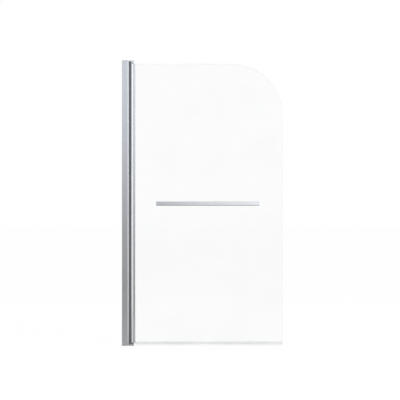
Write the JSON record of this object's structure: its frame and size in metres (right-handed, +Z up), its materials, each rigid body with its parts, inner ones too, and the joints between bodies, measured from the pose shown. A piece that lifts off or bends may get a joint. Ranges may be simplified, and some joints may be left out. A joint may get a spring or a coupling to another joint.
{
  "type": "pivot bath screen",
  "caption": "Hinged glass bath screen with a rounded free corner, a towel rail, a sliding wall channel and a wipe seal along its foot.",
  "frame": {"origin": "where the wall face meets the underside of the bottom cap, in the middle of the glass's thickness", "axes": "+X from the wall along the closed glass, +Y towards the bath, away from the towel rail, +Z up"},
  "size_m": [0.788, 0.0614, 1.4],
  "materials": {
    "bright_aluminium": "bright anodised",
    "chrome_trim": "polished",
    "stainless_steel": "satin",
    "dark_seal": "matt",
    "black_nylon": "matt",
    "clear_seal": "clear, soft",
    "clear_glass": "polished, clear"
  },
  "bodies": {
    "wall_channel": {"wall_profile": "bright_aluminium", "wall_top_cap": "chrome_trim", "wall_bottom_cap": "chrome_trim"},
    "sliding_post": {"pivot_post": "bright_aluminium", "top_hinge_block": "chrome_trim", "bottom_hinge_block": "chrome_trim", "top_pivot_pin": "stainless_steel", "bottom_pivot_pin": "stainless_steel", "hinge_block_screws": "stainless_steel", "hinge_seal": "dark_seal", "lock_screws": "stainless_steel", "lock_screw_caps": "chrome_trim"},
    "glass_door": {"glass_profile": "bright_aluminium", "top_pivot_bush": "black_nylon", "bottom_pivot_bush": "black_nylon", "glass_gasket": "clear_seal", "glass_panel": "clear_glass", "bottom_seal": "clear_seal", "towel_rail": "bright_aluminium", "rail_end_caps": "chrome_trim", "rail_standoffs": "chrome_trim", "rail_bolts": "chrome_trim", "rail_nuts": "stainless_steel", "rail_grommets": "clear_seal"}
  },
  "joints": [
    {"name": "width_adjust", "type": "slide", "parent": "wall_channel", "child": "sliding_post", "axis": [1, 0, 0], "range_m": [-0.004, 0.012]},
    {"name": "screen_pivot", "type": "hinge", "parent": "sliding_post", "child": "glass_door", "pos_m": [0.0506, 0, 0], "axis": [0, 0, 1], "range_deg": [-90, 90]}
  ]
}
